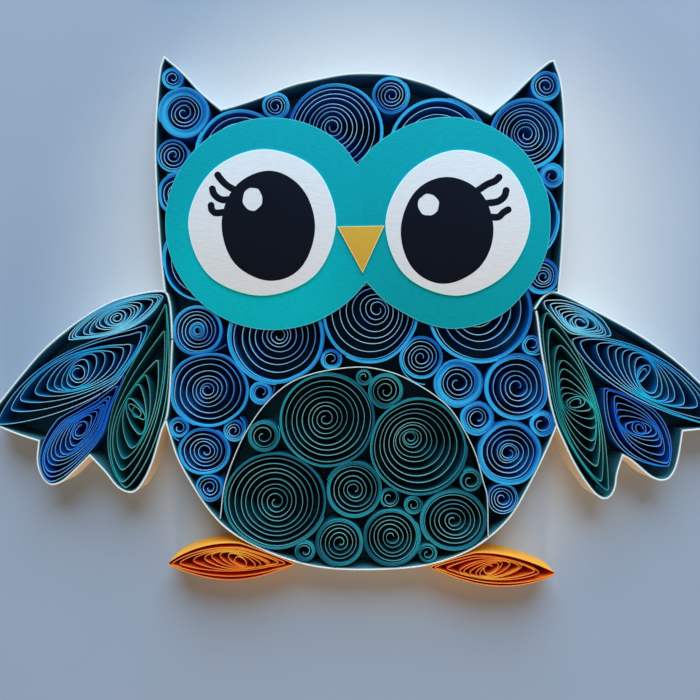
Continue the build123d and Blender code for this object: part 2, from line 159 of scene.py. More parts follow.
def smoothLine(points, sharp=(), closed=False, step=0.5):
    # A centripetal Catmull-Rom curve: each stretch mixes the straight lines through its four nearest points
    # twice over, with times that grow by the root of the distances. It breaks at the sharp points.
    points = np.array(points, float)
    count = len(points)
    sharp = sorted(sharp)
    if closed and sharp:
        points = np.roll(points, -sharp[0], axis=0)
        sharp = [(place - sharp[0]) % count for place in sharp] + [count]
        points = np.vstack([points, points[:1]])
    elif closed:
        points = np.vstack([points[-1:], points, points[:2]])
    wrapped = closed and not sharp
    breaks = sorted({0, len(points) - 1, *sharp})
    parts = []
    for start, stop in zip(breaks, breaks[1:]):
        run = points[start:stop + 1]
        ends = run if wrapped else np.vstack([2 * run[:1] - run[1:2], run, 2 * run[-1:] - run[-2:-1]])
        p0, p1, p2, p3 = ends[:-3], ends[1:-2], ends[2:-1], ends[3:]
        t1 = np.linalg.norm(p1 - p0, axis=1) ** 0.5
        t2 = t1 + np.linalg.norm(p2 - p1, axis=1) ** 0.5
        t3 = t2 + np.linalg.norm(p3 - p2, axis=1) ** 0.5
        for k in range(len(p1)):
            pieces = max(2, int(np.linalg.norm(p2[k] - p1[k]) / step))
            t = np.linspace(t1[k], t2[k], pieces, endpoint=False)[:, None]
            a1 = mixed(t, 0, t1[k], p0[k], p1[k])
            a2 = mixed(t, t1[k], t2[k], p1[k], p2[k])
            a3 = mixed(t, t2[k], t3[k], p2[k], p3[k])
            b1 = mixed(t, 0, t2[k], a1, a2)
            b2 = mixed(t, t1[k], t3[k], a2, a3)
            parts.append(mixed(t, t1[k], t2[k], b1, b2))
    line = np.vstack(parts)
    return line if closed else np.vstack([line, points[-1:]])


def runAlong(path):
    # The length of a line up to each of its points: the sum of the steps before it.
    return np.concatenate([[0], np.cumsum(np.linalg.norm(np.diff(path, axis=0), axis=1))])


def evenLine(path, step, soften=0):
    # The same line with even spacing. Each softening mixes half of a point with a quarter of both neighbours.
    run = runAlong(path)
    even = np.linspace(0, run[-1], max(3, int(run[-1] / step)))
    line = np.stack([np.interp(even, run, path[:, 0]), np.interp(even, run, path[:, 1])], axis=1)
    for _ in range(soften):
        line[1:-1] = 0.25 * line[:-2] + 0.5 * line[1:-1] + 0.25 * line[2:]
    return line


def lowestMean(values, lowest, mean):
    # Round a loop, the lowest of each value and so many on both sides, and then the mean of those likewise.
    values = np.stack([np.roll(values, step) for step in range(-lowest, lowest + 1)]).min(axis=0)
    return np.stack([np.roll(values, step) for step in range(-mean, mean + 1)]).mean(axis=0)


def cutCard(name, outline, bottom, top, cut, drop, hole=None):
    # A flat card. Its rings are the outline at the bottom and at the drop below the top, and at the top the
    # outline moved inwards by the cut. The outline runs anticlockwise. A hole has as many points as it, and
    # the face runs between the two.
    outline = np.array(outline, float)
    count = len(outline)
    rings = [(outline, bottom), (outline, top - drop), (outline + across(outline, True) * cut, top)]
    if hole is not None:
        rings += [(hole, top), (hole, bottom)]
    points = np.vstack([np.column_stack([ring, np.full(count, level)]) for ring, level in rings])
    here = np.arange(count)
    there = (here + 1) % count
    bands = [(band * count, (band + 1) % len(rings) * count) for band in range(len(rings))]
    if hole is None:
        bands = bands[:-1]
    faces = np.vstack([np.stack([low + here, low + there, high + there, high + here], axis=1)
                       for low, high in bands]).tolist()
    # The outer wall and its cut corner are the edge, and these and the hole's wall are curved
    edge = np.repeat([band in (0, 1) for band in range(len(bands))], count)
    curved = np.repeat([band in (0, 1, 3) for band in range(len(bands))], count)
    if hole is None:
        faces += [list(range(2 * count, 3 * count)), list(range(count - 1, -1, -1))]
        edge = np.append(edge, [False, False])
        curved = np.append(curved, [False, False])
    mesh = bpy.data.meshes.new(name)
    mesh.from_pydata((points * mm).tolist(), [], faces)
    mesh.polygons.foreach_set("use_smooth", curved)
    mesh.attributes.new("edge", "FLOAT", "FACE").data.foreach_set("value", edge.astype(np.float32))
    return objectOf(name, mesh)


class Flow:
    # One socket of a material. Maths on it adds Math nodes, and add() makes any other node.
    def __init__(self, tree, socket=None):
        self.tree = tree
        self.socket = socket

    def add(self, kind, settings=None, sockets=None, take=0):
        made = self.tree.nodes.new(kind)
        for key, value in (settings or {}).items():
            setattr(made, key, value)
        for key, value in (sockets or {}).items():
            if isinstance(value, Flow):
                self.tree.links.new(value.socket, made.inputs[key])
            else:
                made.inputs[key].default_value = value
        return Flow(self.tree, made.outputs[take])

    def maths(self, operation, first, second):
        return self.add("ShaderNodeMath", {"operation": operation}, {0: first, 1: second})

    def __add__(self, other):
        return self.maths("ADD", self, other)

    def __radd__(self, other):
        return self.maths("ADD", other, self)

    def __sub__(self, other):
        return self.maths("SUBTRACT", self, other)

    def __mul__(self, other):
        return self.maths("MULTIPLY", self, other)

    def blend(self, first, second, factor):
        return self.add("ShaderNodeMix", {"data_type": "RGBA"}, {0: factor, 6: first, 7: second}, 2)

    def ramp(self, value, low, high):
        return self.add("ShaderNodeMapRange", {"interpolation_type": "SMOOTHSTEP"},
                        {"Value": value, "From Min": low, "From Max": high})

    def attribute(self, name):
        return self.add("ShaderNodeAttribute", {"attribute_name": name}, take="Fac")


def linear(colour):
    # A colour as the eye reads it, from 0 to 255, as linear light: a dark share of 255 is divided by 12.92,
    # and of a lighter one (share + 0.055) / 1.055 is raised to the power of 2.4.
    share = np.array(colour, float) / 255
    light = np.where(share <= 0.04045, share / 12.92, ((share + 0.055) / 1.055) ** 2.4)
    return (*[float(value) for value in light], 1.0)


# What a look leaves out. Depth is the heights in metres between which a strip's face goes from its painted
# depth shade to its full colour.
plainLook = {
    "depth": (0.0080, 0.0133), "cloud": 0.12, "cloudScale": 90.0, "grain": 0.1, "grainScale": 1800.0,
    "laid": (1, 1, 1), "bump": 0.25, "bumpHeight": 0.0001, "rough": 0.72, "gloss": 0.12,
}


def paper(name, look):
    # Dyed paper. From its face colour it goes over to the painted falloff colour with the distance from a
    # point, as painted light that fades out round it, to the painted depth shade towards the board, to the
    # pressed one's painted shade copy where turns lie together, to the outer one on the outermost face, and
    # to the edge colour on the cut edge. A colour that has a painted shade copy is blended from that and its
    # own lit colour by the painted light of the strip's side. Last it's multiplied by 1 + cloud (noise - 0.5)
    # + grain (fibre - 0.5), and the fibres, stretched by the laid scale, raise a small bump.
    look = {**plainLook, **look}
    made = bpy.data.materials.new(name)
    made.use_nodes = True
    made.node_tree.nodes.clear()
    flow = Flow(made.node_tree)
    place = flow.add("ShaderNodeTexCoord", take="Object")
    height = flow.add("ShaderNodeSeparateXYZ", None, {0: place}, "Z")

    def shade(key):
        # One colour of the look, or, where it has a painted shade copy, the blend of that and its own lit
        # colour by the painted light.
        if key + "PaintedShade" not in look:
            return linear(look[key])
        return flow.blend(linear(look[key + "PaintedShade"]), linear(look[key]), flow.attribute("paintedLight"))

    colour = shade("face")
    # Painted light: a pale pool round a point, fading to the painted falloff colour further away
    if "far" in look:
        away = flow.add("ShaderNodeVectorMath", {"operation": "DISTANCE"}, {0: place, 1: look["farFrom"]},
                        "Value")
        colour = flow.blend(colour, linear(look["far"]), flow.ramp(away, *look["farReach"]))
    # Painted shade in the depth: towards the board the face goes over to the painted depth shade colour
    if "paintedDepthShade" in look:
        raised = flow.ramp(height, *look["depth"])
        colour = flow.blend(linear(look["paintedDepthShade"]), colour, raised)
    if "pressed" in look:
        colour = flow.blend(colour, linear(look["pressedPaintedShade"]), flow.attribute("press") * raised)
    if "outer" in look:
        colour = flow.blend(colour, linear(look["outer"]), flow.attribute("outer"))
    if "edge" in look:
        edge = shade("edge")
        if "pressed" in look:
            edge = flow.blend(edge, shade("pressed"), flow.attribute("press"))
        colour = flow.blend(colour, edge, flow.attribute("edge"))
    cloud = flow.add("ShaderNodeTexNoise", None, {
        "Vector": place, "Scale": look["cloudScale"], "Detail": 2.0})
    laid = flow.add("ShaderNodeVectorMath", {"operation": "MULTIPLY"}, {0: place, 1: look["laid"]}, "Vector")
    fibre = flow.add("ShaderNodeTexNoise", None, {
        "Vector": laid, "Scale": look["grainScale"], "Detail": 3.0, "Roughness": 0.6})
    tone = 1 + (cloud - 0.5) * look["cloud"] + (fibre - 0.5) * look["grain"]
    grey = flow.add("ShaderNodeCombineColor", None, {0: tone, 1: tone, 2: tone})
    colour = flow.add("ShaderNodeMix", {"data_type": "RGBA", "blend_type": "MULTIPLY"},
                      {0: 1.0, 6: colour, 7: grey}, 2)
    bump = flow.add("ShaderNodeBump", None, {
        "Height": fibre, "Strength": look["bump"], "Distance": look["bumpHeight"]})
    shader = flow.add("ShaderNodeBsdfPrincipled", None, {
        "Base Color": colour, "Roughness": look["rough"], "Specular IOR Level": look["gloss"],
        "Normal": bump})
    out = made.node_tree.nodes.new("ShaderNodeOutputMaterial")
    made.node_tree.links.new(shader.socket, out.inputs["Surface"])
    return made


# Colours from 0 to 255, as the eye reads them
looks = {
    # In a strip, a colour's painted shade copy and its own lit colour are blended by painted light, and the
    # painted depth shade sets the colour of each turn's lower part
    "azureStrip": {
        "face": (14, 108, 190), "paintedDepthShade": (10, 132, 196), "edge": (164, 220, 242), "edgePaintedShade": (98, 156, 204),
        "pressed": (58, 196, 252), "pressedPaintedShade": (18, 106, 192)},
    "bellyStrip": {
        "face": (14, 88, 104), "paintedDepthShade": (8, 112, 130), "edge": (130, 194, 194), "edgePaintedShade": (76, 136, 142),
        "pressed": (48, 168, 182), "pressedPaintedShade": (18, 102, 124)},
    "paleCyanStrip": {
        "face": (62, 184, 222), "paintedDepthShade": (20, 150, 200), "edge": (210, 242, 250), "edgePaintedShade": (150, 208, 228),
        "pressed": (128, 222, 244), "pressedPaintedShade": (72, 176, 224)},
    "wingAzureStrip": {
        "face": (8, 124, 186), "paintedDepthShade": (6, 114, 164), "edge": (164, 224, 246), "edgePaintedShade": (98, 168, 220),
        "pressed": (46, 204, 250), "pressedPaintedShade": (18, 136, 212)},
    "royalStrip": {
        "face": (14, 96, 184), "paintedDepthShade": (8, 94, 172), "edge": (128, 184, 236), "edgePaintedShade": (80, 136, 204),
        "pressed": (36, 144, 242), "pressedPaintedShade": (18, 88, 198)},
    "greenTealStrip": {
        "face": (18, 122, 130), "paintedDepthShade": (10, 116, 132), "edge": (136, 204, 198), "edgePaintedShade": (76, 138, 138),
        "pressed": (44, 190, 188), "pressedPaintedShade": (20, 124, 132)},
    "orangeStrip": {
        "face": (236, 88, 30), "paintedDepthShade": (250, 96, 36), "depth": (0.004, 0.013), "edge": (252, 166, 88),
        "edgePaintedShade": (242, 124, 50), "pressed": (254, 180, 60), "pressedPaintedShade": (244, 112, 34),
        "outer": (255, 178, 62)},
    "partitionStrip": {"face": (70, 104, 116), "paintedDepthShade": (22, 44, 54), "edge": (206, 224, 230)},
    "rimCard": {"face": (216, 222, 226), "outer": (200, 196, 188), "edge": (238, 250, 255)},
    "rimLining": {"face": (60, 120, 130), "edge": (78, 136, 140)},
    "floorCard": {"face": (60, 124, 150)},
    # The mask is painted darker with the distance from a point at its lower left, as painted shade
    "maskCard": {
        "face": (6, 186, 200), "far": (6, 161, 175), "farFrom": (-0.030, 0.010, 0.012),
        "farReach": (0.014, 0.046), "edge": (90, 206, 220), "cloud": 0.06, "grain": 0.38,
        "grainScale": 1900.0, "laid": (0.28, 1, 1), "bump": 0.5, "gloss": 0.06},
    # The eye card's bright cyan-white cut edge is a painted highlight
    "eyeCard": {
        "face": (224, 229, 234), "edge": (206, 246, 255), "cloud": 0.05, "grain": 0.2, "laid": (0.26, 1, 1),
        "bump": 0.8},
    "ink": {"face": (9, 17, 31), "cloud": 0.2, "grain": 0.15, "rough": 0.85, "gloss": 0.1},
    "goldCard": {"face": (211, 168, 62), "edge": (236, 222, 170), "cloud": 0.06},
    # The board is painted pale round a point near the owl and darker and bluer towards its corners, as
    # painted light falling off
    "boardCard": {
        "face": (232, 234, 236), "far": (161, 179, 201), "farFrom": (0.010, 0.020, 0.003),
        "farReach": (0.050, 0.112), "cloud": 0.04, "cloudScale": 30.0, "grain": 0.04, "laid": (0.5, 1, 1)},
}
papers = {name: paper(name, look) for name, look in looks.items()}


def finish(piece, material, slot, *nodes):
    # Gives a piece its paper, lays it on the body, and hides the named nodes that it stands for. The slot is
    # not used.
    piece.data.materials.clear()
    piece.data.materials.append(papers[material])
    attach(piece, "root")
    if nodes:
        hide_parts(*nodes)


boardLook = {"side": 250.0, "cut": 0.2}
halfSide = boardLook["side"] / 2
corners = [(-halfSide, -halfSide), (halfSide, -halfSide), (halfSide, halfSide), (-halfSide, halfSide)]
board = cutCard("board", corners, 0, levels["board"], boardLook["cut"], boardLook["cut"])
finish(board, "boardCard", "white_board", "mount_board")
print("board")

rims = {
    "thick": 0.44,
    "cut": 0.1,
    "lining": 0.24,
    "liningGap": 0.02,
    "liningDrop": 0.06,
    "liningCut": 0.05,
    "bodySide": 0.16,
    "bodySideDrop": 0.3,
    "bodySideCut": 0.04,
    "floorGap": 0.02,
    "floorCut": 0.02,
    # The middle lines run clockwise, and the sharp places count their points from 0
    "upper": [
        (-52.85, 16.5), (-53.8, 25.1), (-54.9, 40.0), (-55.6, 56.6), (-55.3, 67.4), (-54.0, 81.1),
        (-53.1, 83.7), (-47.7, 78.9), (-43.1, 73.9), (-36.9, 68.6), (-32.9, 69.7), (-23.1, 73.1),
        (-16.6, 75.7), (-9.1, 77.4), (-0.3, 78.9), (10.6, 78.8), (16.1, 77.7), (22.9, 75.7), (34.6, 70.3),
        (40.3, 67.3), (46.3, 72.4), (52.6, 78.6), (57.1, 82.4), (58.3, 82.7), (60.0, 77.4), (60.9, 71.1),
        (61.4, 58.0), (60.9, 36.0), (60.3, 25.7), (59.5, 16.4),
    ],
    "upperSharp": (6, 9, 19, 22, 23),
    "lower": [
        (59.05, -21.5), (56.6, -27.4), (51.4, -38.1), (45.7, -47.7), (38.7, -54.3), (31.6, -58.4),
        (21.4, -61.5), (6.6, -62.7), (-7.1, -62.2), (-16.0, -60.3), (-26.4, -56.3), (-34.8, -51.3),
        (-40.0, -46.0), (-45.7, -37.4), (-49.3, -30.6), (-51.3, -24.6), (-52.75, -19.8),
    ],
    "leftWing": [
        (-51.0, 2.9), (-51.3, -3.3), (-51.8, -12.9), (-52.7, -19.4), (-54.0, -22.8), (-56.8, -32.2),
        (-59.0, -37.0), (-61.4, -40.1), (-63.1, -40.6), (-66.2, -39.2), (-69.9, -34.8), (-74.5, -29.9),
        (-78.1, -33.5), (-82.9, -37.7), (-85.6, -38.3), (-87.6, -36.8), (-89.3, -32.3), (-88.9, -25.9),
        (-94.5, -24.1), (-100.0, -21.9), (-102.6, -20.6), (-103.1, -18.6), (-100.0, -14.9), (-94.5, -8.0),
        (-87.3, 0.2), (-77.1, 8.5), (-68.0, 13.7), (-61.7, 15.6), (-56.2, 16.6), (-52.9, 16.4),
        (-51.8, 13.8), (-51.3, 9.5), (-51.0, 3.3),
    ],
    "leftWingSharp": (11, 17),
    "rightWing": [
        (53.0, 11.7), (55.3, 15.0), (57.7, 16.4), (59.4, 16.2), (69.3, 11.5), (82.4, 4.4),
        (93.3, -3.3), (100.0, -9.5), (106.0, -15.4), (108.9, -21.4), (100.0, -22.5), (95.1, -23.0),
        (93.7, -31.3), (92.5, -34.8), (90.9, -36.7), (89.0, -37.1), (86.6, -36.3), (80.2, -31.1),
        (78.0, -29.9), (76.3, -35.3), (75.6, -39.6), (74.4, -41.7), (72.8, -42.4), (70.9, -41.5),
        (68.5, -38.9), (64.5, -32.7), (61.4, -26.3), (59.2, -21.2), (57.4, -14.5), (56.3, -7.6),
        (54.8, 0.6), (53.8, 9.0), (53.4, 11.2),
    ],
    "rightWingSharp": (9, 11, 18),
    "leftSideEnds": ((-52.6, 15.9), (-52.7, -19.4)),
    "rightSideEnds": ((59.2, -21.2), (57.0, 16.1)),
}


halfRim = (rims["thick"] + rims["lining"]) / 2


def buildRim(name, line, sharp, *nodes):
    # Two plies side by side: the white one's middle lies outside the rim's middle line by half the lining,
    # the green one's inside it by half the white ply.
    path = smoothLine(line, sharp)
    mitre = across(path, False)
    white = {"path": path + mitre * rims["lining"] / 2, "outerRun": np.ones(len(path))}
    green = {"path": path - mitre * rims["thick"] / 2}
    finish(standingStrips(name, [white], rims["thick"], levels["board"], levels["rimTop"], rims["cut"]),
           "rimCard", "rim_card", *nodes)
    finish(standingStrips(name + "Lining", [green], rims["lining"] - rims["liningGap"], levels["board"],
                          levels["rimTop"] - rims["liningDrop"], rims["liningCut"]), "rimLining", "rim_card")
    return path


def buildFloor(name, outline, node):
    # The dark card inside a clockwise line, moved inwards by half the rim and a gap.
    outline = outline[::-1]
    inset = outline + across(outline, True) * (halfRim + rims["floorGap"])
    card = cutCard(name, inset, levels["board"], levels["floor"], rims["floorCut"], rims["floorCut"])
    finish(card, "floorCard", "dark_floor_card", node)


def bodySide(path, first, last):
    # The stretch of a wing's rim that closes the body, between the points nearest to its two ends.
    start = np.argmin(np.linalg.norm(path - first, axis=1))
    stop = np.argmin(np.linalg.norm(path - last, axis=1))
    if start < stop:
        return path[start:stop + 1]
    return np.vstack([path[start:], path[:stop + 1]])


upperPath = buildRim("upperRim", rims["upper"], rims["upperSharp"], "upper_body_rim")
lowerPath = buildRim("lowerRim", rims["lower"], (), "lower_body_rim")
leftPath = buildRim("leftWingRim", rims["leftWing"], rims["leftWingSharp"], "left_wing_rim")
rightPath = buildRim("rightWingRim", rims["rightWing"], rims["rightWingSharp"], "right_wing_rim")
buildFloor("leftWingFloor", leftPath, "left_wing_floor")
buildFloor("rightWingFloor", rightPath, "right_wing_floor")
leftSide = bodySide(leftPath, *rims["leftSideEnds"])
rightSide = bodySide(rightPath, *rims["rightSideEnds"])
bodyOutline = np.vstack([upperPath, rightSide[::-1], lowerPath, leftSide[::-1]])
buildFloor("bodyFloor", bodyOutline, "body_floor")
for name, line in (("leftBodySide", leftSide), ("rightBodySide", rightSide)):
    # The dark lining of the wing's rim on the body's side
    lining = {"path": line + across(line, False) * (halfRim + rims["bodySide"] / 2)}
    piece = standingStrips(name, [lining], rims["bodySide"], levels["board"],
                           levels["rimTop"] - rims["bodySideDrop"], rims["bodySideCut"])
    finish(piece, "rimLining", "rim_card")

partition = {
    "thick": 0.3,
    "cut": 0.07,
    "line": [
        (-37.1, -48.2), (-35.9, -38.9), (-33.4, -31.3), (-29.7, -23.4), (-24.1, -15.4), (-18.1, -10.0),
        (-12.6, -7.4), (-5.1, -5.6), (3.7, -4.9), (9.1, -5.7), (13.6, -7.0), (18.3, -9.3), (23.7, -12.6),
        (28.7, -16.9), (33.1, -23.8), (36.0, -30.1), (38.2, -38.0), (39.1, -41.1), (39.5, -53.3),
    ],
}
partitionLine = smoothLine(partition["line"])
piece = standingStrips("bellyPartition", [{"path": partitionLine}], partition["thick"], levels["floor"],
                       levels["rollTop"], partition["cut"])
finish(piece, "partitionStrip", "partition_paper", "belly_partition")
print("rims and partition")

winding = {
    "thick": 0.18,
    "pitch": 0.30,
    "bellyPitch": 0.36,
    "cut": 0.05,
    "grow": 0.25,  # how far a roll reaches beyond its reading
    "steps": ((7, 72), (4, 52), (0, 40)),  # points a turn, from the radius on
    "wobble": 0.13,
    "uneven": 0.22,
    "pressGap": 0.75,  # the gap to the next turn from which two turns press, and over how much less they do
    "pressFade": 0.35,
    "curl": 0.35,  # how much of a turn curls into the eye, and how much closer its end comes
    "curlIn": 0.5,
    "steady": 9,  # the radius below which the loose turns waver less
    "facing": 0.3,  # the cosine of the angle beside a neighbour down to which it cuts
    "lowest": 4,
    "mean": 15,
    # Painted light: how much a roll's colours are painted lighter and darker by side, and by a wave along its
    # turns
    "paintedLightSide": 0.42,
    "paintedLightWave": 0.34,
}
# Each roll as read on the picture, in its pixels and degrees: x, y, radius, height by width, pressed turns,
# loose turns, eye radius, eye's shift to the right and downwards, where the outer end lies, 1 where the strip
# winds outwards anticlockwise, how much wider the outer turns stand, and the side whose colour is painted
# brighter, as painted light.
blueRolls = {
    "left_ear_roll": (184, 112.8, 25.0, 1, 8, 3.4, 3.5, 0, 0, 200, 1, 1.1, 215),
    "left_temple_roll": (178, 194, 21, 1, 3, 4, 4, 0, 0, 120, 1, 1.3, 200),
    "left_brow_roll": (240, 154, 44.5, 1, 3, 7, 5, 0, 0, 150, -1, 1.2, 150),
    "crown_roll": (336, 131, 47.3, 1, 3, 8.4, 4.2, -4, -4.4, 320, 1, 1.15, 20),
    "forehead_roll": (391, 95, 18.2, 1, 3, 3.6, 4, 0.5, 0, 40, 1, 1.2, 30),
    "right_brow_roll": (439, 148, 50, 1, 3, 7, 5, 0, 0, 80, 1, 1.2, 120),
    "right_ear_roll": (527, 134.5, 36, 1, 4, 7.2, 4.6, -1, -0.5, 250, 1, 1.05, 290),
    "right_temple_roll": (512, 218.5, 46.8, 1, 2, 6, 5, 0, 0, 10, 1, 1.2, 330),
    "right_shoulder_roll": (541.5, 275.8, 17.6, 1, 3, 4, 3.2, 2.1, 1.2, 321, 1, 1.2, 215),
    "left_cheek_roll": (203, 260, 41, 1, 2, 6, 5, 0, 0, 190, 1, 1.3, 215),
    "left_shoulder_roll": (197.5, 330.6, 24.8, 1, 3, 7, 3.4, 0, 0, 333, 1, 1.8, 150),
    "left_flank_roll": (208.8, 390, 40, 0.936, 3, 6.6, 4.6, -1.2, 0, 250, 1, 1.55, 215),
    "left_breast_roll": (276.3, 336.8, 48.3, 1, 4, 7.2, 5.2, 2.5, -1.6, 270, 1, 1.5, 215),
    "throat_roll": (370, 315, 47.5, 1, 3, 7.4, 4.4, 7.7, -6, 240, -1, 1.2, 235),
    "right_breast_roll": (480.5, 311, 51.8, 1, 3, 7.2, 4.6, -5, -1, 290, 1, 1.6, 240),
    "lower_throat_roll": (421.2, 357.7, 21.3, 1, 3, 3.8, 3.6, 0, 0, 278, 1, 1.1, 225),
    "right_rib_roll": (458.2, 383.2, 24, 1, 7, 2.8, 5.4, 0, 0, 30, 1, 1.0, 225),
    "right_flank_roll": (517.3, 386.9, 32.8, 1, 4, 4.4, 5.2, 0, 0.5, 130, 1, 1.15, 225),
    "right_belly_roll": (477.4, 418.2, 16.8, 1, 5, 2.2, 4.8, 0, 0, 350, 1, 1.0, 235),
    "right_hip_roll": (509.4, 452.6, 32, 1, 5, 5.6, 5.4, -1, 0, 200, -1, 1.6, 225),
    "left_hip_roll": (203.7, 451.2, 25.6, 0.914, 3, 4.6, 3.8, 1.9, 0, 60, 1, 1.2, 215),
}
smallBlueRolls = {
    "left_ear_tip": (172.4, 78.1, 10.3, 1, 3, 1.6, 2.8, 0, 0, 90, 1, 1, 215),
    "left_ear_foot": (173, 155.6, 16, 1, 2, 3.2, 3.4, 0, 0, 20, 1, 1.1, 215),
    "brow_filler": (275.5, 105.6, 13.2, 1, 3, 2.4, 3.4, 0, 0, 250, -1, 1.1, 60),
    "right_ear_tip": (545.7, 85.7, 14.5, 1, 3, 2.6, 3.6, 0, 0, 60, 1, 1, 200),
    "right_ear_foot": (552, 175.5, 11.9, 1, 5, 1.1, 4.8, 0, 0, 180, 1, 1, 60),
    "breast_filler": (331, 359.3, 10.1, 1, 3, 1.3, 3.8, 0, 0, 30, 1, 1, 215),
    "left_belly_filler": (261, 392.8, 11.3, 1, 4, 1.2, 5.0, 0, 0, 26, 1, 1, 215),
    "right_wing_filler": (531.8, 344.8, 9.2, 1, 1.6, 1.5, 5.2, 0, 0, -50, 1, 1, 230),
    "right_armpit_filler": (542.2, 423.8, 12.5, 1, 4, 1.1, 5.6, 0, 0, 140, 1, 1, 180),
    "right_hip_filler": (502.6, 498.8, 14.8, 1, 1, 3.2, 3.4, 0, 0, 100, 1, 1, 215),
    "left_armpit_filler": (178.8, 427.6, 9.9, 1, 3, 1.3, 3.6, 0, 0, -90, 1, 1, 200),
    "left_waist_filler": (234.2, 430.5, 10.6, 1, 2, 2.3, 2.8, -0.8, 0.8, 67, 1, 1, 215),
    "left_hip_filler": (209.3, 487.8, 13.5, 1, 2, 2.6, 3.2, 0, 0, 45, 1, 1, 215),
}
tealRolls = {
    "belly_left_roll": (275.2, 501, 51, 0.94, 2, 8.6, 4, 0.8, 0.6, 340, 1, 1.1, 200),
    "belly_top_roll": (327.2, 420.3, 47.6, 0.983, 2, 8, 4, -1.5, -1.9, 100, 1, 1.15, 215),
    "belly_right_roll": (418.6, 446.4, 48.6, 1, 2, 9.4, 4.6, -8.9, -9.2, 0, 1, 1.5, 215),
    "belly_middle_roll": (354, 490, 27.8, 1, 3, 4.6, 4, 0, 0, 160, 1, 1.1, 225),
    "belly_crest_roll": (385.9, 390.8, 17.2, 1, 3, 2.4, 4, 0, 0, 300, 1, 1.1, 45),
    "belly_edge_roll": (263.5, 435.9, 15.4, 1, 3, 1.8, 4, 0, 0, 35, 1, 1, 120),
    "belly_low_right_roll": (453.8, 520.5, 33, 0.915, 3, 5.4, 4, 0, 0, 220, 1, 1.15, 225),
    "belly_low_roll": (391.7, 537.3, 28.4, 1, 3, 5, 4, 0, 0, 30, 1, 1.1, 45),
    "belly_low_left_roll": (339.7, 542.7, 23.5, 1, 3, 4, 3.6, 0, 0, 260, 1, 1.1, 45),
}
smallTealRolls = {
    "crest_filler": (364, 377.2, 7.6, 1, 2, 1.0, 2.8, 0, 0, 0, 1, 1, 45),
    "low_left_filler": (304.7, 551.3, 9.9, 1, 2.5, 1.2, 3.2, 0, 0, 90, 1, 1, 45),
    "low_right_filler": (427.7, 553.6, 9.1, 1, 2, 1.2, 2.8, 0, 0, 180, 1, 1, 45),
    "middle_hook": (389.8, 498, 9.1, 1, 1.5, 1.0, 3.4, 0, 0, 240, 1, 1, 215),
    "middle_filler": (413.2, 504.8, 8.9, 1, 2.5, 1.1, 3.2, 0, 0, 20, 1, 1, 215),
    "right_hook": (470.6, 480.5, 10.7, 1, 2, 1.1, 4.0, 0, 0, 130, 1, 1, 215),
}
# Outer ends that stand off from the ring: over how many degrees, and by how many millimetres
tails = {
    "left_shoulder_roll": (38, 1.7),
    "left_belly_filler": (40, 0.8),
    "left_armpit_filler": (44, 0.8),
    "right_wing_filler": (50, 0.6),
    "lower_throat_roll": (92, 1.5),
    "right_shoulder_roll": (36, 0.6),
    "left_waist_filler": (70, 0.9),
    "belly_edge_roll": (50, 0.5),
}
allRolls = {**blueRolls, **smallBlueRolls, **tealRolls, **smallTealRolls}


def ovalReach(row, angle):
    # The outer reach of a roll in a direction: its half width over the root of cos(a)^2 + (sin(a) / height by
    # width)^2.
    wide = row[2] * photo["mmPerPixel"] + winding["grow"]
    return wide / np.hypot(np.cos(angle), np.sin(angle) / row[3])


def squeeze(name, walls):
    # For 360 directions, the share of its free reach that a roll keeps. Between two rolls lies a plane half
    # way through their overlap, which cuts the reach to its distance divided by the cosine of the angle
    # beside it. A wall cuts the reach to its own distance in that direction.
    row = allRolls[name]
    middle = onPhoto(row[:2])
    angle = np.radians(np.arange(360))
    free = ovalReach(row, angle)
    limit = free.copy()
    for other, otherRow in allRolls.items():
        if other == name:
            continue
        between = onPhoto(otherRow[:2]) - middle
        apart = np.hypot(*between)
        towards = math.atan2(between[1], between[0])
        mine = ovalReach(row, towards)
        plane = mine + (apart - mine - ovalReach(otherRow, towards + math.pi)) / 2
        if plane > mine:
            continue
        facing = np.cos(angle - towards)
        cut = np.minimum(limit, plane / np.maximum(facing, winding["facing"]))
        limit = np.where(facing > winding["facing"], cut, limit)
    for wall, clearance in walls:
        offset = wall - middle
        direction = np.degrees(np.arctan2(offset[:, 1], offset[:, 0])).astype(int) % 360
        np.minimum.at(limit, direction, np.hypot(offset[:, 0], offset[:, 1]) - clearance)
    return lowestMean(limit / free, winding["lowest"], winding["mean"])


